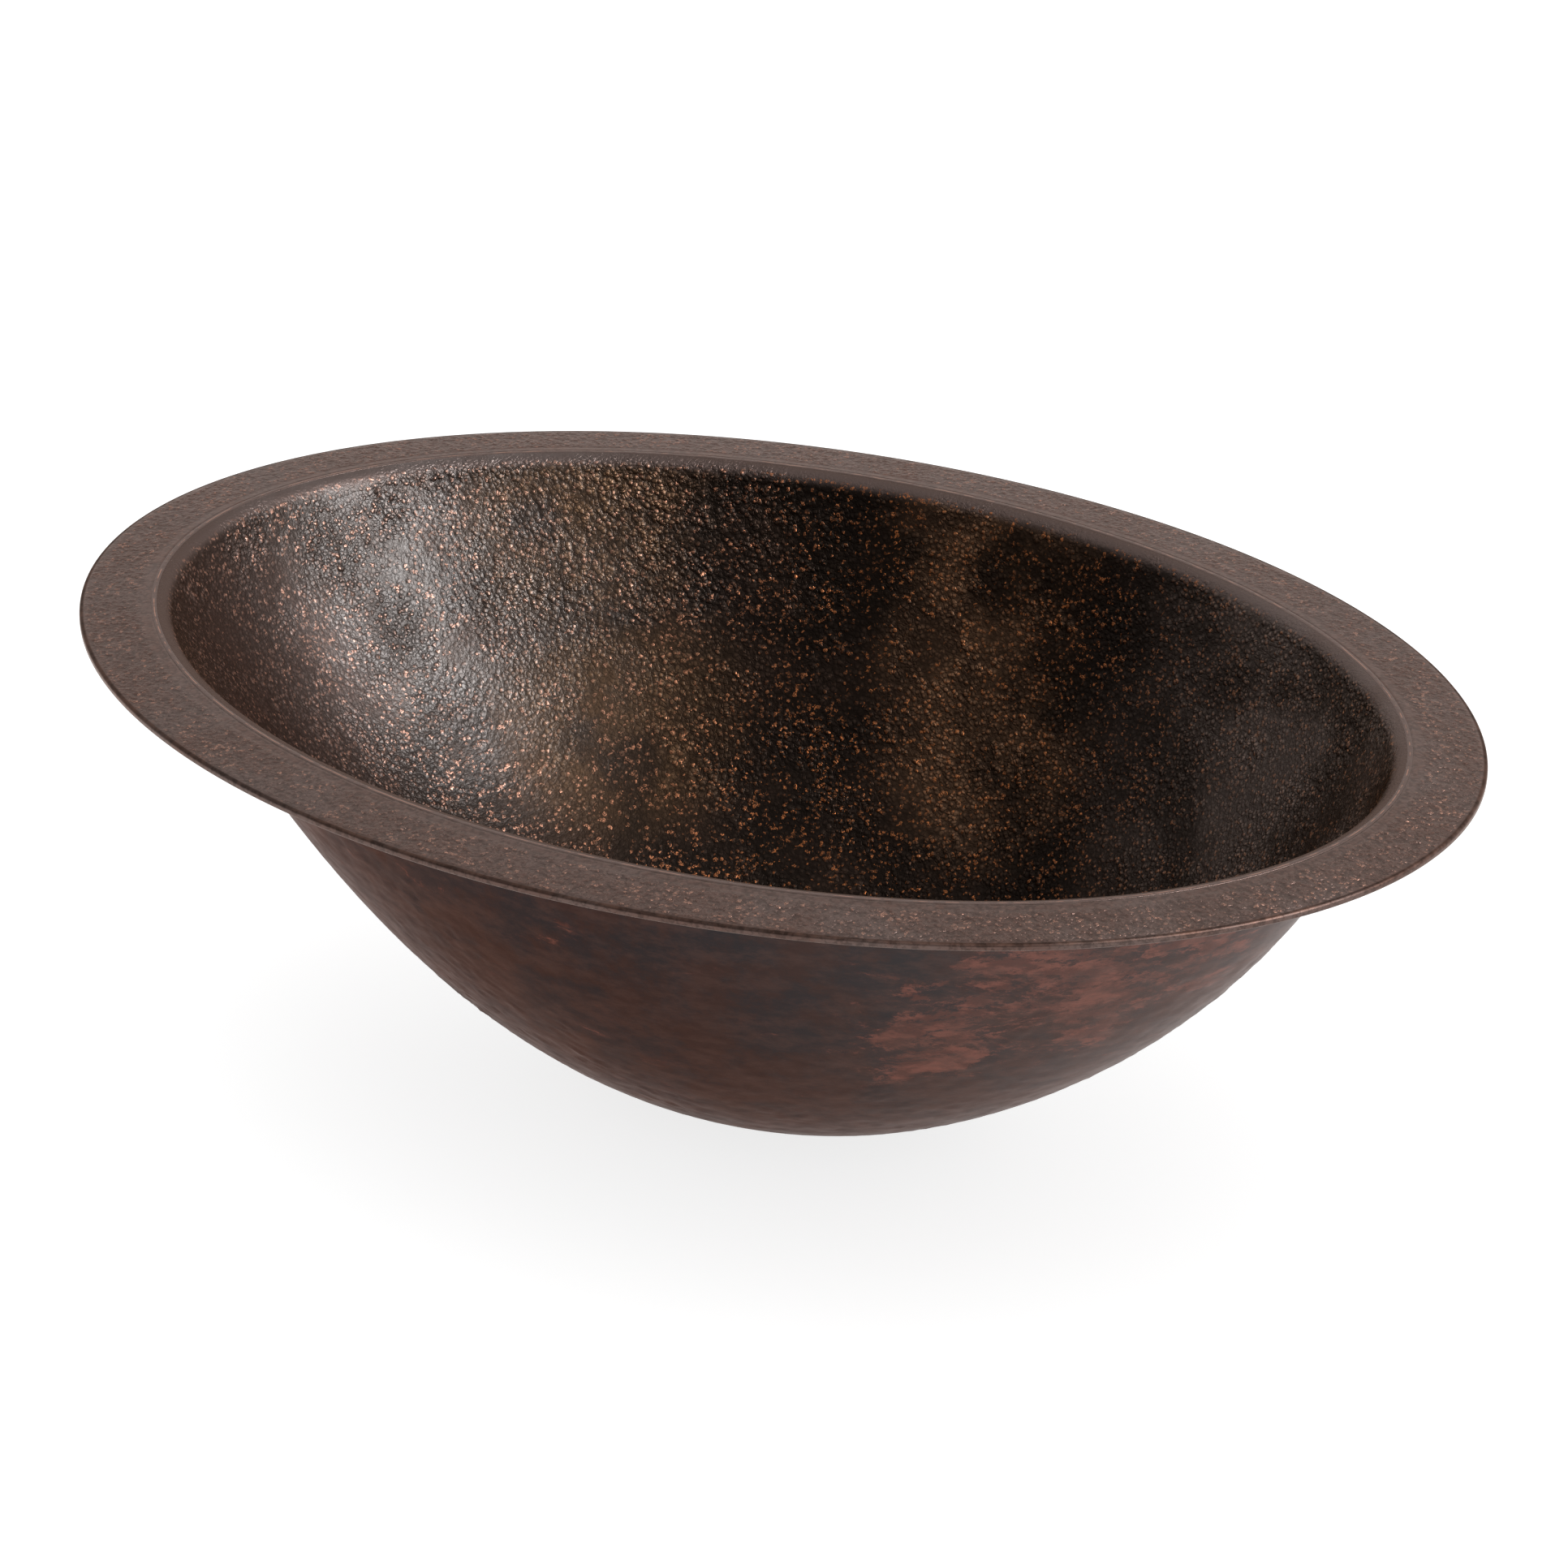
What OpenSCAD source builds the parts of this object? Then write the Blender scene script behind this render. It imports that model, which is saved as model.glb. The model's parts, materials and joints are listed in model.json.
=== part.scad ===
// Oval hammered copper basin, in millimetres.
// The origin is the centre of the drain seat's underside, +X runs along the bowl and +Z points up.
// A raised sheet bowl and a flat rim flange are joined all round by a bead of filler metal.

/* [Rim] */
// Length over the rim's outer edges
rim_length = 482.6; // [420:0.1:560]
// Width over the rim's outer edges
rim_width = 355.6; // [320:0.1:440]
// Width of the flange, from its outer edge to the seam
flange_width = 24.4; // [20:0.1:32]
// Thickness of the flange
flange_thickness = 2.2; // [1.8:0.1:3]
// How far the flange falls from the seam to its outer edge
flange_fall = 2; // [0:0.1:4]
// Radius that softens the flange's top outer edge
edge_radius = 0.9; // [0.4:0.1:1.2]

/* [Bowl] */
// Height of the seam above the drain seat's underside
bowl_height = 148.2; // [135:0.1:170]
// Thickness of the bowl's sheet
sheet = 1.6; // [1.2:0.1:2]
// Inward run of the rounded shoulder, from the seam to the wall's outer face
shoulder_run = 5.4; // [4.5:0.1:8]
// Drop of the shoulder, from the seam to the top of the wall
shoulder_drop = 6; // [5:0.1:8]
// Height over which the wall keeps the lean that it starts with
lean_height = 82; // [60:1:95]
// Share of the wall's top radii that is left after that lean
lean_share = 0.825; // [0.7:0.005:0.95]
// Share of the wall's top radii that the flat of the floor reaches out to
floor_share = 0.41; // [0.35:0.005:0.6]
// How much the oval draws in at its corners half way down; 0 keeps a true ellipse
corner_pinch = 0.17; // [0:0.01:0.3]

/* [Drain] */
// Diameter of the drain hole
drain_diameter = 38.1; // [32:0.1:45]
// Depth of the rounded floor that is planished flat to make the drain seat
seat_depth = 6; // [5.5:0.1:7]
// Height over which the flat seat blends into the floor
seat_blend = 2; // [1:0.1:2.4]

/* [Seam] */
// Width of the filler bead
bead_width = 1.8; // [1:0.1:3]
// Depth of the groove that the bead fills
groove_depth = 1.1; // [0.6:0.1:1.4]
// Height of the bead's crown above the rim
bead_crown = 0.3; // [0.1:0.1:0.6]

/* [Smoothness] */
// Straight steps around each oval
segments = 96; // [48:12:108]
// Rings of points down the wall
wall_rings = 20; // [10:1:22]
// Rings of points over the shoulder
shoulder_rings = 5; // [3:1:6]

/* [Hidden] */
half_length = rim_length / 2;
half_width = rim_width / 2;
edge_top = bowl_height - flange_fall;
groove_root = bowl_height - groove_depth;
lip_underside = bowl_height - sheet;
wall_top = bowl_height - shoulder_drop;
seam_radii = [half_length - flange_width, half_width - flange_width];
wall_radii = [seam_radii.x - shoulder_run, seam_radii.y - shoulder_run];
lean_radii = lean_share * wall_radii;
floor_radii = floor_share * wall_radii;
// Lean of the ends and of the sides, as inward run per unit of height
slopes = (wall_radii - lean_radii) / lean_height;
// Where the wall's starting line meets the lip's underside
knee_radii = wall_radii + slopes * (lip_underside - wall_top);
// Share of the wall's curve that is drawn before the flat seat takes over
seat_start = 0.86;
// Small step used to measure the slope of the surface
probe = 0.0005;
patina = [0.27, 0.21, 0.19];
rim_patina = [0.36, 0.31, 0.29];
bare_copper = [0.72, 0.42, 0.31];

function quadratic(p, t) = (1 - t) * (1 - t) * p[0] + 2 * t * (1 - t) * p[1] + t * t * p[2];

function cubic(p, t) =
    pow(1 - t, 3) * p[0] + 3 * t * pow(1 - t, 2) * p[1] + 3 * t * t * (1 - t) * p[2] + pow(t, 3) * p[3];

// Zero below the blend, x above it and a smooth bend between
function soft_floor(x) =
    let (h = max(seat_blend - abs(x), 0) / seat_blend)
    max(x, 0) + h * h * seat_blend / 4;

// Radii and height of the bowl's outer face; s runs 0 to 1 over the shoulder and 1 to 2 down the wall
function face_radii(s) =
    s < 1 ? quadratic([seam_radii, knee_radii, wall_radii], s)
          : cubic([wall_radii, lean_radii, floor_radii, [0, 0]], s - 1);

function face_height(s) =
    s < 1 ? quadratic([lip_underside, lip_underside, wall_top], s)
          : soft_floor(cubic([wall_top, wall_top - lean_height, -seat_depth, -seat_depth], s - 1));

// Exponent of the oval at a height: 2 is an ellipse, and less draws its corners in
function oval_power(z) =
    let (depth = max(1 - z / wall_top, 0))
    2 - 4 * corner_pinch * depth * (1 - depth);

function on_face(s, a) =
    let (r = face_radii(s), z = face_height(s), e = oval_power(z))
    let (k = pow(pow(abs(cos(a)), e) + pow(abs(sin(a)), e), -1 / e))
    [r.x * k * cos(a), r.y * k * sin(a), z];

// Unit vector into the bowl, square to the outer face
function inward(s, a) =
    let (along = on_face(s + probe, a) - on_face(max(s - probe, 0), a))
    let (around = on_face(s, a + 1) - on_face(s, a - 1))
    let (square = cross(around, along))
    square / norm(square);

function angles() = [for (i = [0:segments - 1]) i * 360 / segments];

function outer_ring(s) = [for (a = angles()) on_face(s, a)];

function inner_ring(s) = [for (a = angles()) on_face(s, a) + sheet * inward(s, a)];

// A ring around the rim, given by its distance in from the outer edge and its height
function rim_ring(inset, z) =
    [for (a = angles()) [(half_length - inset) * cos(a), (half_width - inset) * sin(a), z]];

// Stations from the lip down to the drain seat
function shoulder_stations() = [for (i = [1:shoulder_rings]) i / shoulder_rings];

function wall_stations() = [for (i = [1:wall_rings]) 1 + seat_start * i / wall_rings];

function stations() = concat(shoulder_stations(), wall_stations());

function backwards(list) = [for (i = [len(list) - 1:-1:0]) list[i]];

// Solid skin over a list of rings, either closed on itself or capped at both ends
module skin(rings, closed) {
    n = len(rings[0]);
    m = len(rings);
    strips = [
        for (j = [0:closed ? m - 1 : m - 2], i = [0:n - 1])
            [j * n + i, (j + 1) % m * n + i, (j + 1) % m * n + (i + 1) % n, j * n + (i + 1) % n]
    ];
    first_cap = [for (i = [0:n - 1]) i];
    last_cap = [for (i = [n - 1:-1:0]) (m - 1) * n + i];
    caps = closed ? [] : [first_cap, last_cap];
    polyhedron(points = [for (ring = rings) each ring], faces = concat(strips, caps), convexity = 6);
}

// Raised sheet with its rounded shoulder, oval wall and flat drain seat
module bowl() {
    lip = [
        rim_ring(flange_width, lip_underside),
        rim_ring(flange_width, groove_root),
        rim_ring(flange_width + bead_width / 2, bowl_height)
    ];
    outside = [for (s = backwards(stations())) outer_ring(s)];
    inside = [for (s = stations()) inner_ring(s)];
    color(patina)
        difference() {
            skin(concat(outside, lip, inside), false);
            cylinder(h = 4 * sheet, d = drain_diameter, center = true, $fn = segments);
        }
}

// Flat oval ring that carries the basin, with a softened outer edge and a bevel at the seam
module rim_flange() {
    softened = [
        for (a = [0:30:90])
            [edge_radius * (1 - cos(a)), edge_top - edge_radius * (1 - sin(a))]
    ];
    seam_side = [
        [flange_width - bead_width / 2, bowl_height],
        [flange_width, groove_root],
        [flange_width, bowl_height - flange_thickness]
    ];
    section = concat([[0, edge_top - flange_thickness]], softened, seam_side);
    color(rim_patina)
        skin([for (p = section) rim_ring(p[0], p[1])], true);
}

// Crowned bead of filler metal in the groove between the flange and the bowl's lip
module seam_bead() {
    reach = bead_width / 2;
    crown = [
        for (x = [1:-0.5:-1])
            [flange_width - reach * x, bowl_height + bead_crown * (1 - x * x)]
    ];
    section = concat([[flange_width, groove_root]], crown);
    color(bare_copper)
        skin([for (p = section) rim_ring(p[0], p[1])], true);
}

bowl();
rim_flange();
seam_bead();
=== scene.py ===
"""Looks of an oval hammered copper basin: a raised bowl, a flat rim flange and the bead that joins them.

Lengths are in metres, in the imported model's own frame: the origin is the centre of the drain seat's
underside, +X runs along the basin and +Z points up. Each mesh is a loft of closed rings. Relief that the
hammer left is real geometry, and the colours read the same patterns, so that wear sits on the bumps.
"""

import json
import math

import bpy
import numpy as np
from mathutils import Matrix, Vector


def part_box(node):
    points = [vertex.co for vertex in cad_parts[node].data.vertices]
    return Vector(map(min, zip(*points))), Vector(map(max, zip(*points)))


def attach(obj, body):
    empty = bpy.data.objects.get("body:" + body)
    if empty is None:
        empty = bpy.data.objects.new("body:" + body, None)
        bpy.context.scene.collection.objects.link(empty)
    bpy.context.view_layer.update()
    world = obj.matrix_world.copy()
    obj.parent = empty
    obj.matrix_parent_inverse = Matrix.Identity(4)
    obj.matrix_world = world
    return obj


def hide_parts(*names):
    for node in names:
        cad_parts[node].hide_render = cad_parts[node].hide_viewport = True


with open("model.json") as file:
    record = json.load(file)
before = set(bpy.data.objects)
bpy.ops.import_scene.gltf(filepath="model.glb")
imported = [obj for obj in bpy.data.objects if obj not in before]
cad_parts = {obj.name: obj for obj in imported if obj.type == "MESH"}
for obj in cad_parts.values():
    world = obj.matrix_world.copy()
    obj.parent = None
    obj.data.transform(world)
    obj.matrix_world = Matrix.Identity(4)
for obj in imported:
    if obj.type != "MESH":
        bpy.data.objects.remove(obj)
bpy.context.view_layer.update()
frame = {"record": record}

MM = 0.001

# ---------------------------------------------------------------------------------------------------
# Sizes that the frame gives
# ---------------------------------------------------------------------------------------------------
rim_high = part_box("rim_flange")[1]
bowl_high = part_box("bowl")[1]
bead_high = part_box("seam_bead")[1]
mounts = {mount["name"]: mount for mount in frame["record"]["mounts"]}

HALF_LENGTH = rim_high.x
HALF_WIDTH = rim_high.y
BOWL_HEIGHT = rim_high.z
SEAM_RADII = np.array([bowl_high.x, bowl_high.y])
FLANGE_WIDTH = HALF_LENGTH - SEAM_RADII[0]
BEAD_HALF = bead_high.x - SEAM_RADII[0]
BEAD_CROWN = bead_high.z - BOWL_HEIGHT
DRAIN_RADIUS = mounts["drain_hole"]["dims"]["r_mm"] * MM
SHEET = mounts["drain_hole"]["dims"]["length_mm"] * MM

# ---------------------------------------------------------------------------------------------------
# The rest of the basin's shape, as in its CAD model
# ---------------------------------------------------------------------------------------------------
FLANGE_THICKNESS = 2.2 * MM
FLANGE_FALL = 2.0 * MM
EDGE_RADIUS = 0.9 * MM
GROOVE_DEPTH = 1.1 * MM
SHOULDER_RUN = 5.4 * MM
SHOULDER_DROP = 6.0 * MM
LEAN_HEIGHT = 82.0 * MM
LEAN_SHARE = 0.825
FLOOR_SHARE = 0.41
CORNER_PINCH = 0.17
SEAT_DEPTH = 6.0 * MM
SEAT_BLEND = 2.0 * MM
SEAT_START = 1.86

EDGE_TOP = BOWL_HEIGHT - FLANGE_FALL
GROOVE_ROOT = BOWL_HEIGHT - GROOVE_DEPTH
LIP_UNDERSIDE = BOWL_HEIGHT - SHEET
WALL_TOP = BOWL_HEIGHT - SHOULDER_DROP
WALL_RADII = SEAM_RADII - SHOULDER_RUN
LEAN_RADII = LEAN_SHARE * WALL_RADII
FLOOR_RADII = FLOOR_SHARE * WALL_RADII
KNEE_RADII = WALL_RADII + (WALL_RADII - LEAN_RADII) / LEAN_HEIGHT * (LIP_UNDERSIDE - WALL_TOP)

# ---------------------------------------------------------------------------------------------------
# How finely each surface is made
# ---------------------------------------------------------------------------------------------------
HAMMERED_PITCH = 0.75 * MM
SHOULDER_PITCH = HAMMERED_PITCH / 1.5
SMOOTH_PITCH = 2.4 * MM
BEAD_PITCH = 0.5 * MM
CORNER_RADIUS = 0.35 * MM
OUTER_SEAT_ROWS = 8
INNER_SEAT_ROWS = 25
EDGE_ROWS = 7
BEAD_ROWS = 13
# Where on the shoulder the outer face's rings end and the inner face's begin, short of the lip.
OUTER_FACE_END = 0.2
INNER_FACE_START = 0.14
# How far the flange's top rings keep from its rounded edge and from the seam.
EDGE_GAP = 0.6 * MM
SEAM_GAP = 0.4 * MM
# Which of the bowl's two materials a ring takes.
INSIDE, OUTSIDE = 0, 1

# ---------------------------------------------------------------------------------------------------
# Relief
# ---------------------------------------------------------------------------------------------------
# Its depth where a pattern changes by 1, and the level of the pattern that stays on the smooth surface.
# The levels are high, so that the relief goes in and hardly out.
WALL_RELIEF, WALL_LEVEL = 0.6 * MM, 0.65
RIM_RELIEF, RIM_LEVEL = 0.45 * MM, 0.75
BEAD_RELIEF, BEAD_LEVEL = 0.4 * MM, 0.9
# The share of it left at the bowl's lip, and where on the shoulder it grows to the full depth.
LIP_SHARE = 0.08
LIP_FADE = (0.35, 0.95)
# The share lost across the drain seat, and where on the way in to the hole.
SEAT_LOSS = 0.85
SEAT_FADE = (0.1, 0.8)
# The share ground away beside the seam, and how far in from the rim's edge.
GROUND_LOSS = 0.85
GROUND_FADE = (18 * MM, 20.5 * MM)
# How far in from its edge the rim's relief is full, and the heights over which the outer face's grows.
RIM_FULL = 3 * MM
OUTER_FADE = (2 * MM, 30 * MM)
# The share of the bead's half width that its bare crown takes.
CROWN_SHARE = 0.4

# ---------------------------------------------------------------------------------------------------
# Where the patina and the relief differ: centres on the surface, and how far from them it reaches
# ---------------------------------------------------------------------------------------------------
# Inner wall: ochre at the left, partly patina and partly painted glow beside the highlight; tan on the far
# side and ash-brown at the right.
GOLDEN_PATCHES_AND_GLOW = ((-0.141, 0.098, 0.127), (-0.112, 0.077, 0.073))
GOLDEN_REACH = 55 * MM
TAN_CLOUDS = ((-0.006, 0.144, 0.134), (-0.002, 0.133, 0.104), (0.012, 0.112, 0.078))
TAN_REACH = 50 * MM
PALE_END = (0.140, 0.100, 0.125)
PALE_REACH = 120 * MM
# Inner wall: softer hammering, and coarser.
SMOOTHER_PATCHES = ((-0.185, -0.035, 0.100), (-0.120, -0.075, 0.075), (-0.118, 0.062, 0.062))
SMOOTHER_REACH = 80 * MM
ROUGHER_PATCHES = ((-0.135, 0.104, 0.127), (-0.100, 0.118, 0.122))
ROUGHER_REACH = 55 * MM
# Inner wall: the waxed end that carries the highlight, with a pale haze over it and at its near side.
WAXED_END = (-0.170, 0.058, 0.112)
WAX_REACH = 105 * MM
WAXED_HAZE_REACH = 130 * MM
HAZY_SIDE = SMOOTHER_PATCHES[0]
HAZY_SIDE_REACH = 95 * MM
# Outer wall: red oxide at the right of the front.
RED_PATCHES = (
    (0.164, -0.055, 0.098), (0.180, -0.050, 0.114), (0.156, -0.074, 0.106), (0.122, -0.078, 0.084),
)
RED_REACH = 52 * MM


def quadratic(ends, t):
    return (1 - t) ** 2 * ends[0] + 2 * t * (1 - t) * ends[1] + t**2 * ends[2]


def cubic(ends, t):
    u = 1 - t
    return u**3 * ends[0] + 3 * t * u**2 * ends[1] + 3 * t**2 * u * ends[2] + t**3 * ends[3]


def smooth_step(value, low, high):
    """0 at low or less, 1 at high or more and a smooth change between."""
    t = np.clip((value - low) / (high - low), 0, 1)
    return float(t * t * (3 - 2 * t))


def soft_floor(x):
    """Zero below the blend, x above it and a smooth bend between."""
    bend = max(SEAT_BLEND - abs(x), 0) / SEAT_BLEND
    return max(x, 0) + bend**2 * SEAT_BLEND / 4


def face_radii(s):
    """Half length and half width of the outer face, where s runs from 0 to 1 over the shoulder and on to 2
    down the wall."""
    if s < 1:
        return quadratic([SEAM_RADII, KNEE_RADII, WALL_RADII], s)
    return cubic([WALL_RADII, LEAN_RADII, FLOOR_RADII, np.zeros(2)], s - 1)


def face_height(s):
    """Height of the outer face at s."""
    if s < 1:
        return quadratic([LIP_UNDERSIDE, LIP_UNDERSIDE, WALL_TOP], s)
    return soft_floor(cubic([WALL_TOP, WALL_TOP - LEAN_HEIGHT, -SEAT_DEPTH, -SEAT_DEPTH], s - 1))


def outer_ring(s):
    """The ring of the bowl's outer face at s, as a function of the angle around it."""
    radii, z = face_radii(s), face_height(s)
    depth = max(1 - z / WALL_TOP, 0)
    power = 2 - 4 * CORNER_PINCH * depth * (1 - depth)

    def ring(turn):
        c, q = np.cos(turn), np.sin(turn)
        k = (np.abs(c) ** power + np.abs(q) ** power) ** (-1 / power)
        return np.stack([radii[0] * k * c, radii[1] * k * q, np.full_like(c, z)], 1)

    return ring


def inner_ring(s):
    """The ring of the inner face: one sheet's thickness in from the outer face, square to it."""
    step, swing = 0.0005, 0.002
    here, below, above = outer_ring(s), outer_ring(s + step), outer_ring(max(s - step, 0))

    def ring(turn):
        along = below(turn) - above(turn)
        around = here(turn + swing) - here(turn - swing)
        square = np.cross(around, along)
        return here(turn) + SHEET * square / np.linalg.norm(square, axis=1, keepdims=True)

    return ring


def oval_ring(half_length, half_width, z):
    return lambda turn: np.stack(
        [half_length * np.cos(turn), half_width * np.sin(turn), np.full_like(turn, z)], 1
    )


def rim_ring(inset, z):
    """A ring around the rim, given by its distance in from the outer edge and its height."""
    return oval_ring(HALF_LENGTH - inset, HALF_WIDTH - inset, z)


def drain_ring(radius, z):
    return oval_ring(radius, radius, z)


def between(first, second, share):
    """A ring that lies part of the way from the first ring to the second."""
    return lambda turn: (1 - share) * first(turn) + share * second(turn)


def lengths_along(points):
    """Distance of each point from the first, along the line through them. Where each row holds several
    points, the distance is their average."""
    steps = np.linalg.norm(np.diff(points, axis=0), axis=-1)
    if steps.ndim > 1:
        steps = steps.mean(1)
    return np.concatenate([[0.0], np.cumsum(steps)])


def even_steps(ring_at, start, end, pitch):
    """Values from start to end whose rings lie about one pitch apart, averaged over the basin's end and
    its side."""
    fine = np.linspace(start, end, 300)
    sides = np.array([0.0, math.pi / 2])
    along = lengths_along(np.array([ring_at(value)(sides) for value in fine]))
    count = max(2, round(along[-1] / pitch) + 1)
    return np.interp(np.linspace(0, along[-1], count), along, fine)


def even_points(ring, pitch):
    """Points spaced evenly along a closed ring, about one pitch apart."""
    fine = np.linspace(0, 2 * math.pi, 721)
    along = lengths_along(ring(fine))
    count = max(12, round(along[-1] / pitch))
    return ring(np.interp(np.arange(count) / count * along[-1], along, fine))


def zip_rings(first, first_count, second, second_count):
    """Triangles between two rings of evenly spaced points, which may hold different numbers of points."""
    i, j = np.arange(first_count), np.arange(second_count)
    across = -(-((2 * i + 1) * second_count - first_count) // (2 * first_count)) % second_count
    back = ((2 * j + 1) * first_count + second_count) // (2 * second_count) % first_count
    return np.concatenate([
        np.stack([first + i, first + (i + 1) % first_count, second + across], 1),
        np.stack([first + back, second + (j + 1) % second_count, second + j], 1),
    ])


class Row:
    """One ring of a loft, with what its points carry into the patterns."""

    def __init__(self, ring, pitch, side=INSIDE, relief=0.0, line=0.0):
        self.ring, self.pitch, self.side, self.relief, self.line = ring, pitch, side, relief, line


def loft(name, rows, materials):
    """A closed mesh over rows of points, whose last row joins the first. Its points carry three attributes:
    rest, the smooth place before any relief; relief, how much of the hammer's texture the surface takes
    there; and line, which marks the crown of the bead and the rounded edge of the rim."""
    points = [even_points(row.ring, row.pitch) for row in rows]
    counts = [len(ring_points) for ring_points in points]
    starts = np.concatenate([[0], np.cumsum(counts)[:-1]])
    strips, slots = [], []
    for a in range(len(rows)):
        b = (a + 1) % len(rows)
        strip = zip_rings(starts[a], counts[a], starts[b], counts[b])
        strips.append(strip)
        slots.append(np.full(len(strip), max(rows[a].side, rows[b].side)))
    points, faces = np.concatenate(points), np.concatenate(strips)
    corners = points[faces]
    if (corners[:, 0] * np.cross(corners[:, 1], corners[:, 2])).sum() < 0:
        faces = faces[:, ::-1]
    mesh = bpy.data.meshes.new(name)
    mesh.vertices.add(len(points))
    mesh.vertices.foreach_set("co", points.ravel())
    mesh.loops.add(faces.size)
    mesh.loops.foreach_set("vertex_index", faces.ravel())
    mesh.polygons.add(len(faces))
    mesh.polygons.foreach_set("loop_start", np.arange(len(faces)) * 3)
    for material in materials:
        mesh.materials.append(material)
    mesh.polygons.foreach_set("material_index", np.concatenate(slots))
    mesh.attributes.new("rest", "FLOAT_VECTOR", "POINT").data.foreach_set("vector", points.ravel())
    for kind, values in (("relief", [row.relief for row in rows]), ("line", [row.line for row in rows])):
        mesh.attributes.new(kind, "FLOAT", "POINT").data.foreach_set("value", np.repeat(values, counts))
    mesh.update(calc_edges=True)
    mesh.validate()
    piece = bpy.data.objects.new(name, mesh)
    bpy.context.scene.collection.objects.link(piece)
    return piece


# ---------------------------------------------------------------------------------------------------
# Small helpers for node trees; they serve materials and geometry nodes alike
# ---------------------------------------------------------------------------------------------------
def feed(tree, value, socket):
    """Links an output to a socket, or sets the socket to a plain value."""
    if isinstance(value, bpy.types.NodeSocket):
        tree.links.new(value, socket)
    else:
        socket.default_value = value


def maths(tree, operation, *values):
    node = tree.nodes.new("ShaderNodeMath")
    node.operation = operation
    for value, socket in zip(values, node.inputs):
        feed(tree, value, socket)
    return node.outputs[0]


def times(tree, first, *others):
    """The product of several values."""
    for other in others:
        first = maths(tree, "MULTIPLY", first, other)
    return first


def plus(tree, base, value, weight):
    """The base with a weighted value added."""
    return maths(tree, "MULTIPLY_ADD", value, weight, base)


def vector_maths(tree, operation, *values, output="Vector"):
    node = tree.nodes.new("ShaderNodeVectorMath")
    node.operation = operation
    for value, socket in zip(values, node.inputs):
        feed(tree, value, socket)
    return node.outputs[output]


def split(tree, place):
    """The X, Y and Z of a place, as outputs."""
    node = tree.nodes.new("ShaderNodeSeparateXYZ")
    tree.links.new(place, node.inputs[0])
    return node.outputs


def ease(tree, value, low, high, at_low=0.0, at_high=1.0):
    """Turns a value into at_low where it is low or less, at_high where it is high or more, and smoothly
    from one to the other between."""
    node = tree.nodes.new("ShaderNodeMapRange")
    node.interpolation_type = "SMOOTHSTEP"
    for name, setting in zip(("Value", "From Min", "From Max", "To Min", "To Max"),
                             (value, low, high, at_low, at_high)):
        feed(tree, setting, node.inputs[name])
    return node.outputs["Result"]


def noise(tree, place, size, detail=2.0, roughness=0.5, distortion=0.0, output=0):
    """Soft noise whose blotches are about size across. Output 0 is one value, and output 1 is three."""
    node = tree.nodes.new("ShaderNodeTexNoise")
    feed(tree, place, node.inputs["Vector"])
    for name, setting in (("Scale", 1 / size), ("Detail", detail), ("Roughness", roughness),
                          ("Distortion", distortion)):
        node.inputs[name].default_value = setting
    return node.outputs[output]


def cells(tree, place, size, feature="F1"):
    """Cells about size across. Returns the node, for its distances and its colours."""
    node = tree.nodes.new("ShaderNodeTexVoronoi")
    node.feature = feature
    feed(tree, place, node.inputs["Vector"])
    node.inputs["Scale"].default_value = 1 / size
    return node


def stray(tree, place, size, reach):
    """The place, moved about by up to reach, so that shapes read from it are uneven."""
    middle = (0.5, 0.5, 0.5)
    wander = vector_maths(tree, "SUBTRACT", noise(tree, place, size, output=1), middle)
    return vector_maths(tree, "MULTIPLY_ADD", wander, (2 * reach,) * 3, place)


def near(tree, place, centres, reach):
    """1 around each centre, out to a quarter of the reach, easing to 0 at the reach."""
    closest = 0.0
    for centre in centres:
        distance = vector_maths(tree, "DISTANCE", place, centre, output="Value")
        closest = maths(tree, "MAXIMUM", closest, ease(tree, distance, 0.25 * reach, reach, 1.0, 0.0))
    return closest


def mix(tree, share, first, second):
    """A colour between the first and the second."""
    node = tree.nodes.new("ShaderNodeMix")
    node.data_type = "RGBA"
    for value, socket in ((share, node.inputs[0]), (first, node.inputs[6]), (second, node.inputs[7])):
        if isinstance(value, tuple):
            value = (*value, 1.0)
        feed(tree, value, socket)
    return node.outputs[2]


# ---------------------------------------------------------------------------------------------------
# Patterns that the relief and the colours share
# ---------------------------------------------------------------------------------------------------
STONE_SIZE = 1.55 * MM
LUMP_SIZE = 3.4 * MM
SWELL_SIZE = 6 * MM


def stones(tree, place, feature="F1"):
    """The uneven cells that the bumps and their worn crests share."""
    return cells(tree, stray(tree, place, size=1.8 * MM, reach=0.7 * MM), STONE_SIZE, feature)


def domes(tree, spots):
    """A rounded bump on each cell, from 0 in the gaps to 1 at the crest."""
    return ease(tree, spots.outputs["Distance"], 0.10, 0.62, 1.0, 0.0)


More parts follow.
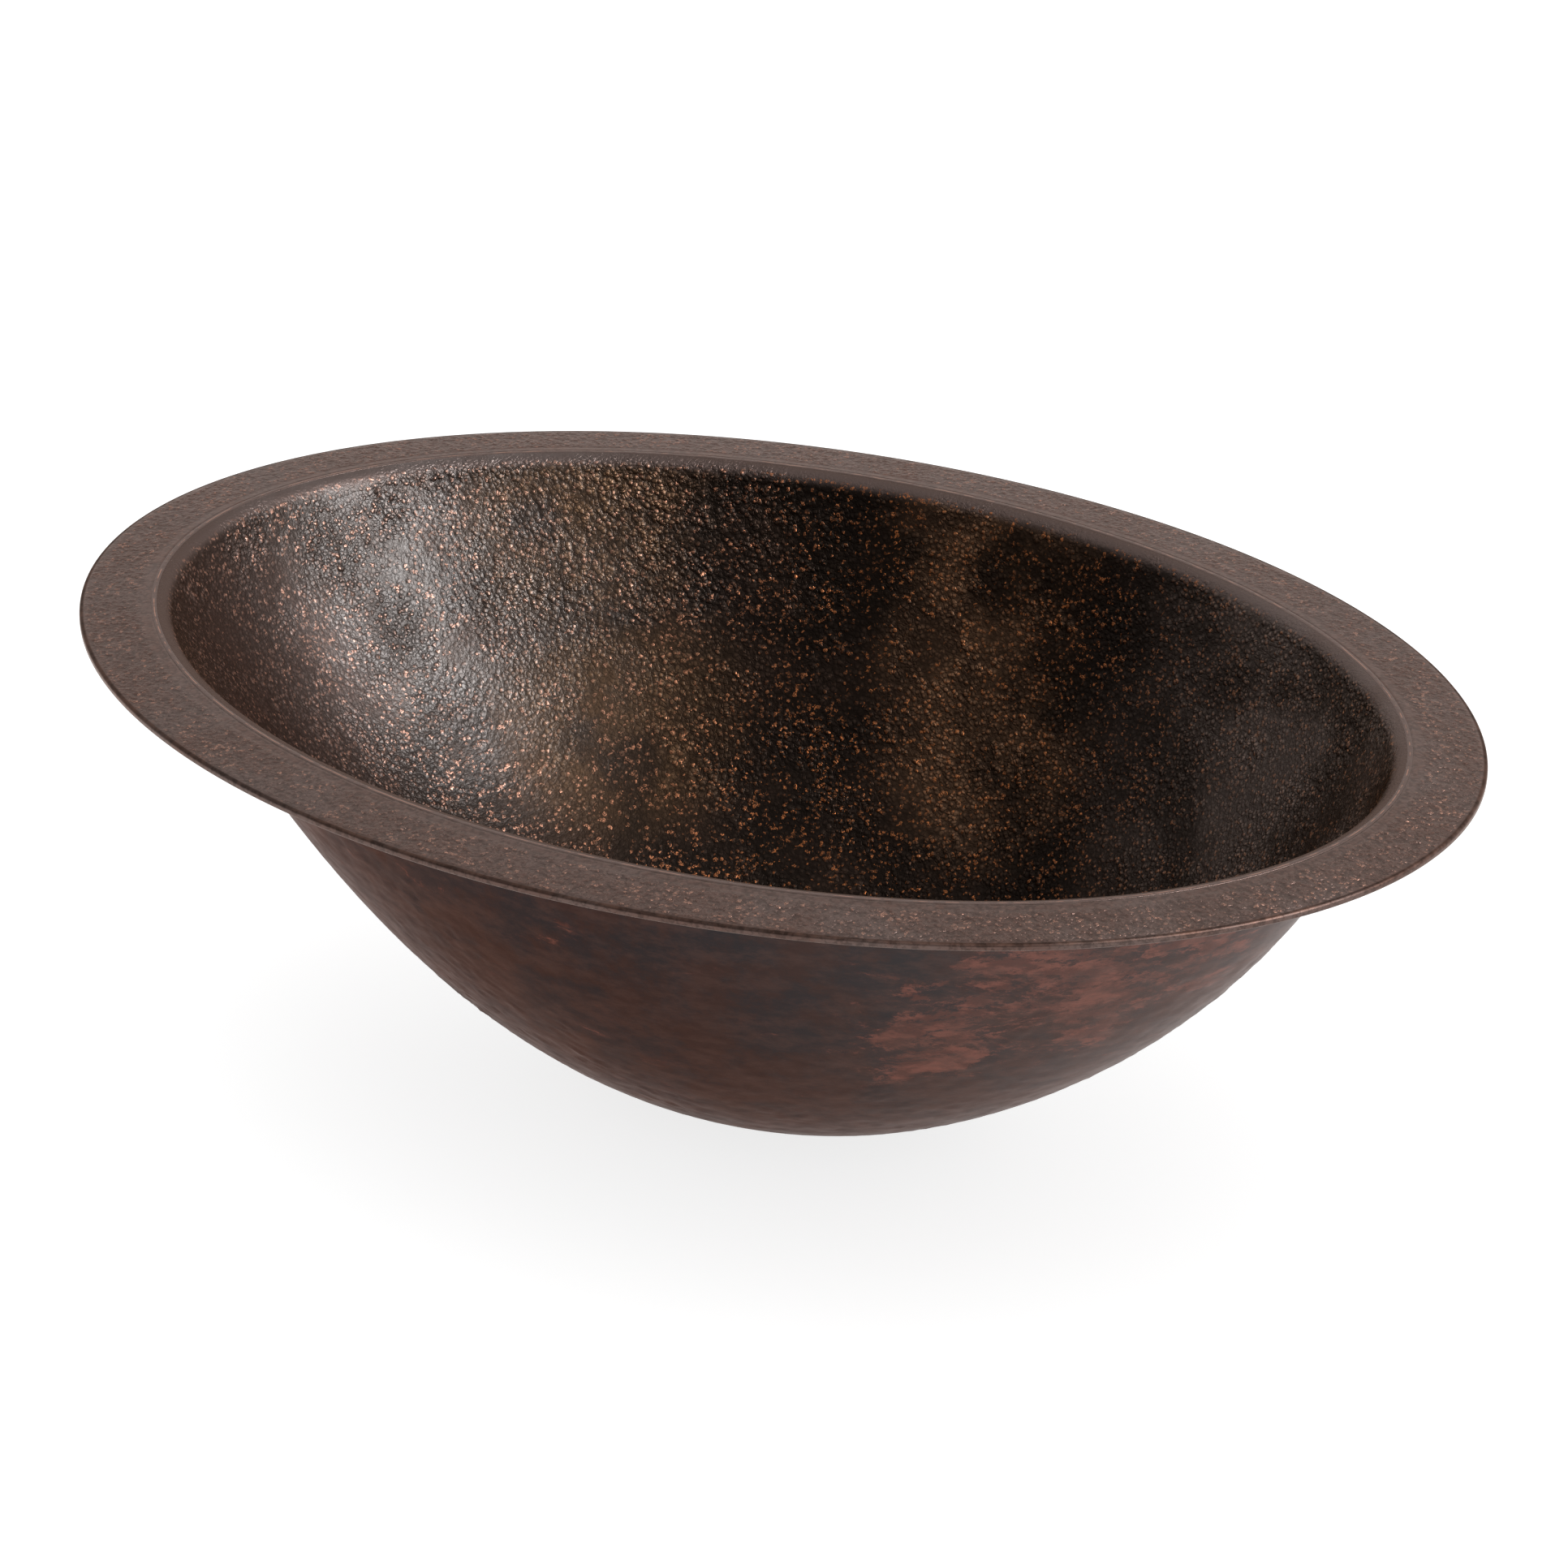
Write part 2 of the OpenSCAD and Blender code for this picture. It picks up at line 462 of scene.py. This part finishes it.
def pebbles(tree, place):
    """Height of the hammered wall's pebbled relief, from about 0 to 1."""
    spots = stones(tree, place)
    stone = times(tree, domes(tree, spots), ease(tree, spots.outputs["Color"], 0.0, 1.0, 0.3, 1.0))
    swell = noise(tree, place, SWELL_SIZE, detail=4.0, roughness=0.65)
    gaps = ease(tree, stones(tree, place, "DISTANCE_TO_EDGE").outputs["Distance"], 0.0, 0.16)
    height = plus(tree, times(tree, swell, 0.25), stone, weight=0.50)
    height = plus(tree, height, gaps, weight=0.25)

    rough = near(tree, place, ROUGHER_PATCHES, ROUGHER_REACH)
    rough = maths(tree, "ADD", rough, ease(tree, noise(tree, place, 22 * MM, detail=3.0), 0.52, 0.64))
    lumps = cells(tree, stray(tree, place, size=3.5 * MM, reach=1.3 * MM), LUMP_SIZE)
    lumps = ease(tree, lumps.outputs["Distance"], 0.15, 0.65, 0.32, 0.0)
    lumps = times(tree, lumps, maths(tree, "MINIMUM", rough, 1.0))
    height = maths(tree, "ADD", height, lumps)

    vigour = ease(tree, noise(tree, place, 26 * MM, detail=3.0), 0.38, 0.60, 0.35, 1.05)
    vigour = plus(tree, vigour, rough, weight=0.25)
    calm = near(tree, place, SMOOTHER_PATCHES, SMOOTHER_REACH)
    vigour = times(tree, vigour, plus(tree, 1.0, calm, weight=-0.6))
    return maths(tree, "MULTIPLY_ADD", maths(tree, "SUBTRACT", height, 0.5), vigour, 0.5)


def ripples(tree, place):
    """Height of the rim's softer relief, from about 0 to 1.5."""
    uneven = stray(tree, place, size=5 * MM, reach=1.5 * MM)
    folds = noise(tree, uneven, 4.5 * MM, detail=3.0, roughness=0.6)
    folds = maths(tree, "ABSOLUTE", maths(tree, "SUBTRACT", folds, 0.5))
    swell = noise(tree, uneven, 3.0 * MM, detail=4.0, roughness=0.7)
    height = plus(tree, swell, ease(tree, folds, 0.0, 0.1), weight=0.15)
    return plus(tree, height, domes(tree, stones(tree, place)), weight=0.4)


def burrs(tree, place):
    """Height of the bead's uneven crown, from about 0 to 1."""
    return noise(tree, place, 4 * MM, detail=3.0)


# ---------------------------------------------------------------------------------------------------
# Relief as real geometry
# ---------------------------------------------------------------------------------------------------
def raise_relief(piece, pattern, depth, level):
    """Moves a piece's points along their normals by a pattern, scaled by their relief attribute. Points
    where the pattern is at the level stay where they are. The moved points replace the piece's mesh."""
    tree = bpy.data.node_groups.new(piece.name + "_relief", "GeometryNodeTree")
    tree.interface.new_socket("Geometry", in_out="INPUT", socket_type="NodeSocketGeometry")
    tree.interface.new_socket("Geometry", in_out="OUTPUT", socket_type="NodeSocketGeometry")
    start, end = tree.nodes.new("NodeGroupInput"), tree.nodes.new("NodeGroupOutput")

    def stored(name, kind):
        node = tree.nodes.new("GeometryNodeInputNamedAttribute")
        node.data_type = kind
        node.inputs["Name"].default_value = name
        return node.outputs["Attribute"]

    height = pattern(tree, stored("rest", "FLOAT_VECTOR"))
    height = maths(tree, "SUBTRACT", height, level)
    height = times(tree, height, depth, stored("relief", "FLOAT"))
    push = tree.nodes.new("ShaderNodeVectorMath")
    push.operation = "SCALE"
    tree.links.new(tree.nodes.new("GeometryNodeInputNormal").outputs[0], push.inputs[0])
    tree.links.new(height, push.inputs["Scale"])
    move = tree.nodes.new("GeometryNodeSetPosition")
    tree.links.new(start.outputs[0], move.inputs["Geometry"])
    tree.links.new(push.outputs["Vector"], move.inputs["Offset"])
    tree.links.new(move.outputs[0], end.inputs[0])
    modifier = piece.modifiers.new("relief", "NODES")
    modifier.node_group = tree
    bpy.context.view_layer.update()
    smooth = piece.data
    raised = bpy.data.meshes.new_from_object(piece.evaluated_get(bpy.context.evaluated_depsgraph_get()))
    piece.modifiers.remove(modifier)
    piece.data = raised
    raised.name = piece.name
    bpy.data.meshes.remove(smooth)
    bpy.data.node_groups.remove(tree)


# ---------------------------------------------------------------------------------------------------
# Materials
# ---------------------------------------------------------------------------------------------------
PINK_COPPER = (0.40, 0.21, 0.15)
ORANGE_COPPER = (0.52, 0.175, 0.058)
BROWN_COPPER = (0.34, 0.150, 0.078)
SOOT = (0.024, 0.016, 0.012)
UMBER = (0.052, 0.031, 0.022)
PALE_UMBER = (0.135, 0.088, 0.075)
ASH_BROWN = (0.220, 0.152, 0.125)
OCHRE_AND_GLOW = (0.205, 0.108, 0.050)
TAN = (0.340, 0.180, 0.100)
# Near-black: the patina in the hollows between bumps, and also painted shade along the rim's rounded edge.
CREVICE_AND_EDGE_SHADE = (0.005, 0.003, 0.002)
# Paler grey of the smooth shoulder: partly its own tone, partly a painted sheen of the room it reflects.
SHOULDER_GREY_AND_SHEEN = (0.104, 0.074, 0.066)
OUTER_BROWN = (0.039, 0.021, 0.018)
OUTER_SLATE = (0.023, 0.021, 0.023)
OUTER_STREAK = (0.068, 0.038, 0.032)
RED_OXIDE = (0.210, 0.076, 0.055)
DARK_OXIDE = (0.100, 0.038, 0.029)
RIM_BROWN = (0.108, 0.063, 0.051)
RIM_GREY = (0.123, 0.083, 0.072)
RUST = (0.110, 0.050, 0.034)

# What the metals turn to where they are seen edge-on.
INNER_TINT = (0.75, 0.60, 0.52)
OUTER_TINT = (0.68, 0.54, 0.50)
RIM_TINT = (0.95, 0.82, 0.76)
# The weight of the wax away from the waxed end, on the inside, and on the rim and the bead.
THIN_WAX = 0.08
RIM_WAX = 0.28
# Squeezes a place, so that patterns read from it are drawn out around the bowl.
DRAWN_OUT = (0.45, 0.45, 1.0)


def new_material(name, edge_tint, wax_roughness):
    """A patinated metal under a coat of wax. Returns the material, its tree, its Principled shader and a
    reader of attributes. The caller feeds the colour, the roughness and the weight of the coat."""
    material = bpy.data.materials.new(name)
    material.use_nodes = True
    tree = material.node_tree
    shader = tree.nodes["Principled BSDF"]
    shader.inputs["Metallic"].default_value = 1.0
    shader.inputs["Specular Tint"].default_value = (*edge_tint, 1.0)
    shader.inputs["Coat Roughness"].default_value = wax_roughness

    def stored(attribute, output="Vector"):
        node = tree.nodes.new("ShaderNodeAttribute")
        node.attribute_name = attribute
        return node.outputs[output]

    return material, tree, shader, stored


def add_bump(tree, shader, height, depth, strength):
    """Grain too fine for the mesh, on the metal and on its coat."""
    bump = tree.nodes.new("ShaderNodeBump")
    bump.inputs["Strength"].default_value = strength
    bump.inputs["Distance"].default_value = depth
    tree.links.new(height, bump.inputs["Height"])
    for name in ("Normal", "Coat Normal"):
        tree.links.new(bump.outputs["Normal"], shader.inputs[name])


def worn_crests(tree, place, share):
    """Irregular flecks of bare copper on the crests of a share of the bumps, and arcs beside some."""
    spots = stones(tree, place)
    ragged = maths(tree, "SUBTRACT", noise(tree, place, 1.1 * MM, detail=2.0, roughness=0.7), 0.5)
    away = plus(tree, spots.outputs["Distance"], ragged, weight=1.1)
    crest = ease(tree, away, 0.10, 0.22, 1.0, 0.0)
    arc = times(tree, ease(tree, away, 0.30, 0.36), ease(tree, away, 0.44, 0.52, 1.0, 0.0))
    arc = times(tree, arc, ease(tree, noise(tree, place, 1.7 * MM), 0.48, 0.58))
    chance = maths(tree, "SUBTRACT", spots.outputs["Color"], maths(tree, "SUBTRACT", 1.0, share))
    return times(tree, maths(tree, "MAXIMUM", crest, arc), ease(tree, chance, -0.02, 0.10))


def inside_patina(tree, place, height, relief, clouds, crowd, pale):
    """Colour of the inside where no copper shows: dark, with ochre, tan and ash-brown areas, blacker
    between the bumps, and greyer on the smooth shoulder, partly its own tone and partly a painted sheen."""
    hazy = times(tree, near(tree, place, [WAXED_END], WAXED_HAZE_REACH), 0.25)
    hazy = maths(tree, "MAXIMUM", hazy, near(tree, place, [HAZY_SIDE], HAZY_SIDE_REACH))
    golden_and_glow = near(tree, place, GOLDEN_PATCHES_AND_GLOW, GOLDEN_REACH)
    clouded = near(tree, place, TAN_CLOUDS, TAN_REACH)
    clouded = times(tree, clouded, ease(tree, crowd, 0.35, 0.60, 0.35, 0.9))
    patchy = ease(tree, clouds, 0.35, 0.55, 0.2, 0.85)
    dark = mix(tree, ease(tree, clouds, 0.38, 0.66), SOOT, UMBER)
    dark = mix(tree, hazy, dark, PALE_UMBER)
    # Ochre patches beside the waxed end: a patina tone, and also a painted glow where the highlight fades
    # out.
    dark = mix(tree, times(tree, golden_and_glow, 0.7, patchy), dark, OCHRE_AND_GLOW)
    dark = mix(tree, times(tree, clouded, patchy), dark, TAN)
    dark = mix(tree, pale, dark, ASH_BROWN)
    dark = mix(tree, ease(tree, height, 0.40, 0.70, 0.3, 1.0), CREVICE_AND_EDGE_SHADE, dark)
    # Painted sheen: where the relief fades, on the smooth shoulder, the colour turns a paler grey that
    # stands in for the room the rounded band reflects, on top of the shoulder's own smoother tone.
    return mix(tree, ease(tree, relief, 0.1, 1.0), SHOULDER_GREY_AND_SHEEN, dark)


def make_inside():
    material, tree, shader, stored = new_material("patina_inside", INNER_TINT, wax_roughness=0.34)
    place, relief = stored("rest"), stored("relief", "Fac")
    x = split(tree, place)["X"]
    height = pebbles(tree, place)
    clouds = noise(tree, place, 38 * MM, detail=5.0, roughness=0.6)
    crowd = noise(tree, place, 16 * MM, detail=4.0, roughness=0.65)
    pale = near(tree, place, [PALE_END], PALE_REACH)
    pale = times(tree, pale, ease(tree, clouds, 0.36, 0.60, 0.3, 0.9))
    patina = inside_patina(tree, place, height, relief, clouds, crowd, pale)

    # Bare copper: more of it along the shoulder at the left; pink at the left, orange, then brown.
    shoulder = times(tree, ease(tree, relief, 0.1, 0.4), ease(tree, relief, 0.6, 0.95, 1.0, 0.0))
    shoulder = times(tree, shoulder, ease(tree, x, -0.08, 0.02, 1.0, 0.0))
    share = plus(tree, ease(tree, crowd, 0.30, 0.66, 0.28, 0.75), shoulder, weight=0.3)
    marks = times(tree, worn_crests(tree, place, share), ease(tree, relief, 0.1, 0.4))
    metal = mix(tree, ease(tree, x, -0.15, -0.04), PINK_COPPER, ORANGE_COPPER)
    metal = mix(tree, ease(tree, x, 0.02, 0.12), metal, BROWN_COPPER)
    dulled = ease(tree, noise(tree, place, 2.6 * MM, detail=2.0), 0.35, 0.65, 0.15, 1.0)

    wax = ease(tree, noise(tree, place, 13 * MM, detail=5.0, roughness=0.65), 0.34, 0.64, 0.40, 0.95)
    wax = times(tree, wax, near(tree, place, [WAXED_END], WAX_REACH))
    wax = plus(tree, maths(tree, "ADD", wax, THIN_WAX), pale, weight=0.35)
    feed(tree, mix(tree, times(tree, marks, dulled), patina, metal), shader.inputs["Base Color"])
    feed(tree, ease(tree, marks, 0.0, 1.0, 0.50, 0.46), shader.inputs["Roughness"])
    feed(tree, wax, shader.inputs["Coat Weight"])
    grain = plus(tree, height, noise(tree, place, 0.8 * MM, detail=2.0), weight=0.35)
    add_bump(tree, shader, grain, depth=0.34 * MM, strength=0.9)
    return material


def make_outside():
    material, tree, shader, stored = new_material("patina_outside", OUTER_TINT, wax_roughness=0.30)
    place = stored("rest")
    drawn = vector_maths(tree, "MULTIPLY", place, DRAWN_OUT)
    clouds = noise(tree, place, 34 * MM, detail=8.0, roughness=0.70)
    blotches = noise(tree, drawn, 12 * MM, detail=12.0, roughness=0.80, distortion=0.3)
    streaks = noise(tree, drawn, 4 * MM, detail=4.0, roughness=0.6)
    mottle = noise(tree, drawn, 7 * MM, detail=8.0, roughness=0.75)
    shades = noise(tree, drawn, 5 * MM, detail=6.0, roughness=0.7)

    # Red oxide, as a soft stain and as ragged patches with hard edges.
    rusty = plus(tree, blotches, near(tree, place, RED_PATCHES, RED_REACH), weight=0.155)
    stain = ease(tree, rusty, 0.54, 0.72, 0.0, 0.35)
    red = maths(tree, "ADD", stain, ease(tree, rusty, 0.620, 0.640, 0.0, 0.5))
    brown = mix(tree, ease(tree, clouds, 0.42, 0.58), OUTER_BROWN, OUTER_SLATE)
    brown = mix(tree, red, brown, mix(tree, ease(tree, shades, 0.42, 0.60), DARK_OXIDE, RED_OXIDE))
    brown = mix(tree, ease(tree, mottle, 0.42, 0.66, 0.0, 0.6), brown, OUTER_STREAK)

    feed(tree, brown, shader.inputs["Base Color"])
    feed(tree, ease(tree, streaks, 0.3, 0.7, 0.36, 0.46), shader.inputs["Roughness"])
    feed(tree, ease(tree, split(tree, place)["X"], 0.02, 0.20, 0.05, 0.40), shader.inputs["Coat Weight"])
    add_bump(tree, shader, streaks, depth=0.06 * MM, strength=0.5)
    return material


def make_rim():
    material, tree, shader, stored = new_material("patina_rim", RIM_TINT, wax_roughness=0.36)
    place, relief, edge = stored("rest"), stored("relief", "Fac"), stored("line", "Fac")
    height = ripples(tree, place)
    clouds = noise(tree, place, 30 * MM, detail=5.0, roughness=0.6)
    blotches = noise(tree, place, 8 * MM, detail=5.0, roughness=0.7)
    base = mix(tree, ease(tree, clouds, 0.4, 0.65), RIM_BROWN, RIM_GREY)
    base = mix(tree, ease(tree, blotches, 0.52, 0.70, 0.0, 0.5), base, RUST)
    base = mix(tree, ease(tree, height, 0.45, 0.75, 0.42, 0.0), base, CREVICE_AND_EDGE_SHADE)
    # Painted shade: the rounded outer edge is darkened toward black, standing in for the shade where it
    # rolls over.
    base = mix(tree, times(tree, edge, 0.6), base, CREVICE_AND_EDGE_SHADE)

    share = ease(tree, noise(tree, place, 9 * MM, detail=3.0), 0.4, 0.7, 0.25, 0.7)
    specks = times(tree, worn_crests(tree, place, share), relief, 0.9)
    # Bare copper in ragged stretches along the rounded edge: partly wear, partly a painted highlight line.
    edge_wear_and_highlight = ease(tree, noise(tree, place, 12 * MM, detail=4.0, roughness=0.6), 0.42, 0.62, 0.0, 0.12)
    bare_copper_and_edge_highlight = maths(tree, "MAXIMUM", specks, times(tree, edge_wear_and_highlight, edge))

    feed(tree, mix(tree, bare_copper_and_edge_highlight, base, PINK_COPPER), shader.inputs["Base Color"])
    rough = plus(tree, ease(tree, clouds, 0.3, 0.7, 0.36, 0.44), edge, weight=0.2)
    feed(tree, rough, shader.inputs["Roughness"])
    feed(tree, ease(tree, edge, 0.0, 0.8, RIM_WAX, 0.02), shader.inputs["Coat Weight"])
    grain = plus(tree, height, noise(tree, place, 0.9 * MM, detail=2.0), weight=0.25)
    add_bump(tree, shader, times(tree, grain, relief), depth=0.55 * MM, strength=1.0)
    return material


def make_bead():
    material, tree, shader, stored = new_material("bead_copper", RIM_TINT, wax_roughness=0.36)
    place, crown = stored("rest"), stored("line", "Fac")
    worn = noise(tree, place, 6 * MM, detail=4.0, roughness=0.6)
    bright = times(tree, ease(tree, crown, 0.2, 0.8), ease(tree, worn, 0.46, 0.58))
    feed(tree, mix(tree, bright, RIM_GREY, PINK_COPPER), shader.inputs["Base Color"])
    feed(tree, ease(tree, bright, 0.0, 1.0, 0.42, 0.38), shader.inputs["Roughness"])
    shader.inputs["Coat Weight"].default_value = RIM_WAX
    add_bump(tree, shader, noise(tree, place, 1.0 * MM, detail=3.0), depth=0.15 * MM, strength=0.5)
    return material


# ---------------------------------------------------------------------------------------------------
# Pieces
# ---------------------------------------------------------------------------------------------------
def bowl_rows():
    """The bowl's rings: out from the drain hole, up the outer face, over the lip and down the inner face.
    The outer points lie further apart, so the same relief leaves that face only softly uneven."""
    seat_outside, seat_inside = outer_ring(SEAT_START), inner_ring(SEAT_START)
    hole_bottom = drain_ring(DRAIN_RADIUS + CORNER_RADIUS, 0.0)
    hole_top = drain_ring(DRAIN_RADIUS + CORNER_RADIUS, SHEET)
    rows = [Row(hole_bottom, SMOOTH_PITCH, OUTSIDE)]
    for share in np.linspace(0, 1, OUTER_SEAT_ROWS)[1:]:
        rows.append(Row(between(hole_bottom, seat_outside, share), SMOOTH_PITCH, OUTSIDE))
    for s in even_steps(outer_ring, SEAT_START, OUTER_FACE_END, SMOOTH_PITCH)[1:]:
        relief = smooth_step(face_height(s), *OUTER_FADE)
        rows.append(Row(outer_ring(s), SMOOTH_PITCH, OUTSIDE, relief))
    rows.append(Row(rim_ring(FLANGE_WIDTH, LIP_UNDERSIDE), SMOOTH_PITCH, OUTSIDE))
    rows.append(Row(rim_ring(FLANGE_WIDTH, GROOVE_ROOT), SMOOTH_PITCH))
    rows.append(Row(rim_ring(FLANGE_WIDTH + BEAD_HALF, BOWL_HEIGHT), HAMMERED_PITCH))
    for s in even_steps(inner_ring, INNER_FACE_START, 1.0, SHOULDER_PITCH)[:-1]:
        relief = LIP_SHARE + (1 - LIP_SHARE) * smooth_step(s, *LIP_FADE)
        rows.append(Row(inner_ring(s), HAMMERED_PITCH, relief=relief))
    for s in even_steps(inner_ring, 1.0, SEAT_START, HAMMERED_PITCH):
        rows.append(Row(inner_ring(s), HAMMERED_PITCH, relief=1.0))
    for share in np.linspace(0, 1, INNER_SEAT_ROWS)[1:]:
        relief = (1 - SEAT_LOSS * smooth_step(share, *SEAT_FADE)) * (share < 1)
        rows.append(Row(between(seat_inside, hole_top, share), HAMMERED_PITCH, relief=relief))
    rows.append(Row(drain_ring(DRAIN_RADIUS, SHEET - CORNER_RADIUS), HAMMERED_PITCH))
    rows.append(Row(drain_ring(DRAIN_RADIUS, CORNER_RADIUS), SMOOTH_PITCH))
    return rows


def flange_rows():
    """The flange's rings: up its edge, in over the top to the seam and back along the underside."""
    seam_inset = FLANGE_WIDTH - BEAD_HALF
    underside = EDGE_TOP - FLANGE_THICKNESS
    rows = [
        Row(rim_ring(CORNER_RADIUS, underside), SMOOTH_PITCH),
        Row(rim_ring(0, underside + CORNER_RADIUS), SMOOTH_PITCH),
    ]
    for turn in np.linspace(0, math.pi / 2, EDGE_ROWS):
        inset = EDGE_RADIUS * (1 - math.cos(turn))
        height = EDGE_TOP - EDGE_RADIUS * (1 - math.sin(turn))
        rows.append(Row(rim_ring(inset, height), HAMMERED_PITCH, line=math.sin(turn)))
    for inset in np.arange(EDGE_RADIUS + EDGE_GAP, seam_inset - SEAM_GAP, HAMMERED_PITCH):
        rise = (inset - EDGE_RADIUS) / (seam_inset - EDGE_RADIUS)
        relief = smooth_step(inset, EDGE_RADIUS, RIM_FULL)
        relief *= 1 - GROUND_LOSS * smooth_step(inset, *GROUND_FADE)
        rows.append(Row(rim_ring(inset, EDGE_TOP + rise * FLANGE_FALL), HAMMERED_PITCH, relief=relief))
    rows.append(Row(rim_ring(seam_inset, BOWL_HEIGHT), HAMMERED_PITCH))
    rows.append(Row(rim_ring(FLANGE_WIDTH, GROOVE_ROOT), SMOOTH_PITCH))
    rows.append(Row(rim_ring(FLANGE_WIDTH, BOWL_HEIGHT - FLANGE_THICKNESS), SMOOTH_PITCH))
    return rows


def bead_rows():
    """The bead's rings: its root in the groove and its crown."""
    rows = [Row(rim_ring(FLANGE_WIDTH, GROOVE_ROOT), BEAD_PITCH)]
    for x in np.linspace(-1, 1, BEAD_ROWS):
        arch = 1 - x * x
        ring = rim_ring(FLANGE_WIDTH + BEAD_HALF * x, BOWL_HEIGHT + BEAD_CROWN * arch)
        rows.append(Row(ring, BEAD_PITCH, relief=arch, line=max(1 - abs(x) / CROWN_SHARE, 0)))
    return rows


def add_piece(piece, node):
    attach(piece, "root")
    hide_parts(node)


def make_bowl():
    piece = loft("copper_bowl", bowl_rows(), [make_inside(), make_outside()])
    raise_relief(piece, pebbles, WALL_RELIEF, WALL_LEVEL)
    add_piece(piece, "bowl")


def make_flange():
    piece = loft("rim_plate", flange_rows(), [make_rim()])
    raise_relief(piece, ripples, RIM_RELIEF, RIM_LEVEL)
    add_piece(piece, "rim_flange")


def make_bead_piece():
    piece = loft("joint_bead", bead_rows(), [make_bead()])
    raise_relief(piece, burrs, BEAD_RELIEF, BEAD_LEVEL)
    add_piece(piece, "seam_bead")


# ---------------------------------------------------------------------------------------------------
# Studio
# ---------------------------------------------------------------------------------------------------
FLOOR_HALF = 6.0
FLOOR_GREY = 0.50
FLOOR_GLOW = 0.80


def make_floor():
    """A pale floor with a glow of its own, so that it renders white and keeps only a faint shadow."""
    material = bpy.data.materials.new("studio_floor")
    material.use_nodes = True
    shader = material.node_tree.nodes["Principled BSDF"]
    shader.inputs["Base Color"].default_value = (FLOOR_GREY, FLOOR_GREY, FLOOR_GREY, 1)
    shader.inputs["Roughness"].default_value = 0.9
    shader.inputs["Specular IOR Level"].default_value = 0.0
    shader.inputs["Emission Color"].default_value = (1, 1, 1, 1)
    shader.inputs["Emission Strength"].default_value = FLOOR_GLOW
    low, high = -FLOOR_HALF, FLOOR_HALF
    corners = [(low, low, 0), (high, low, 0), (high, high, 0), (low, high, 0)]
    mesh = bpy.data.meshes.new("studio_floor")
    mesh.from_pydata(corners, [], [(0, 1, 2, 3)])
    mesh.materials.append(material)
    floor = bpy.data.objects.new("studio_floor", mesh)
    bpy.context.scene.collection.objects.link(floor)


def add_softbox(name, aim, direction, distance, size, watts):
    """A soft light that faces a point from a direction. Returns its object."""
    light = bpy.data.lights.new(name, "AREA")
    light.shape = "RECTANGLE"
    light.size, light.size_y = size
    light.energy = watts
    box = bpy.data.objects.new(name, light)
    towards = Vector(direction).normalized()
    box.location = Vector(aim) + distance * towards
    box.rotation_euler = (-towards).to_track_quat("-Z", "Y").to_euler()
    bpy.context.scene.collection.objects.link(box)
    return box


def make_world():
    """A pale room, brighter overhead and behind the basin than in front of it."""
    world = bpy.data.worlds.new("studio")
    world.use_nodes = True
    bpy.context.scene.world = world
    tree = world.node_tree
    direction = split(tree, tree.nodes.new("ShaderNodeTexCoord").outputs["Generated"])
    background = tree.nodes["Background"]
    background.inputs["Color"].default_value = (1, 1, 1, 1)
    upper_back = plus(tree, direction["Y"], direction["Z"], weight=0.5)
    feed(tree, ease(tree, upper_back, -0.6, 0.5, 0.3, 0.85), background.inputs["Strength"])


def make_lights():
    """A broad overhead fill that leaves no highlight, and a softbox that only makes the waxed end shine."""
    fill = add_softbox(
        "overhead_fill", aim=(0, 0, 0), direction=(0, 0, 1), distance=4.0, size=(7.0, 7.0), watts=60
    )
    fill.visible_glossy = False
    shine = add_softbox(
        "end_softbox", aim=(-0.17, 0.04, 0.10), direction=(0.82, 0.03, 0.53), distance=1.6,
        size=(0.55, 0.80), watts=33,
    )
    shine.visible_diffuse = False


# The camera as fitted to the photograph's outline. Its offset is across and down, in the picture's plane.
CAMERA_AZIMUTH = math.radians(33.48)
CAMERA_ELEVATION = math.radians(24.67)
CAMERA_ROLL = math.radians(-0.67)
CAMERA_DISTANCE = 2.3777
CAMERA_OFFSET = (0.00338, 0.03227)
CAMERA_LENS = 171.5
CAMERA_SENSOR = 36.0
CAMERA_SHIFT = (0.0027, -0.0094)


def make_camera():
    """A long lens that looks at the middle of the rim from the front, above and to the right."""
    az, el = CAMERA_AZIMUTH, CAMERA_ELEVATION
    back = Vector((math.sin(az) * math.cos(el), -math.cos(az) * math.cos(el), math.sin(el)))
    right = (-back).cross(Vector((0, 0, 1))).normalized()
    down = (-back).cross(right)
    c, s = math.cos(CAMERA_ROLL), math.sin(CAMERA_ROLL)
    across, downward = c * right + s * down, c * down - s * right
    place = Vector((0, 0, EDGE_TOP)) + back * CAMERA_DISTANCE
    place += CAMERA_OFFSET[0] * across + CAMERA_OFFSET[1] * downward
    data = bpy.data.cameras.new("camera")
    data.sensor_width = CAMERA_SENSOR
    data.lens = CAMERA_LENS
    data.shift_x, data.shift_y = CAMERA_SHIFT
    data.clip_end = 50
    camera = bpy.data.objects.new("camera", data)
    turn = Matrix((across, -downward, back)).transposed()
    camera.matrix_world = Matrix.Translation(place) @ turn.to_4x4()
    bpy.context.scene.collection.objects.link(camera)
    bpy.context.scene.camera = camera


make_camera()
make_floor()
make_world()
make_lights()
bpy.context.scene.view_settings.view_transform = "Standard"
make_bowl()
make_flange()
make_bead_piece()
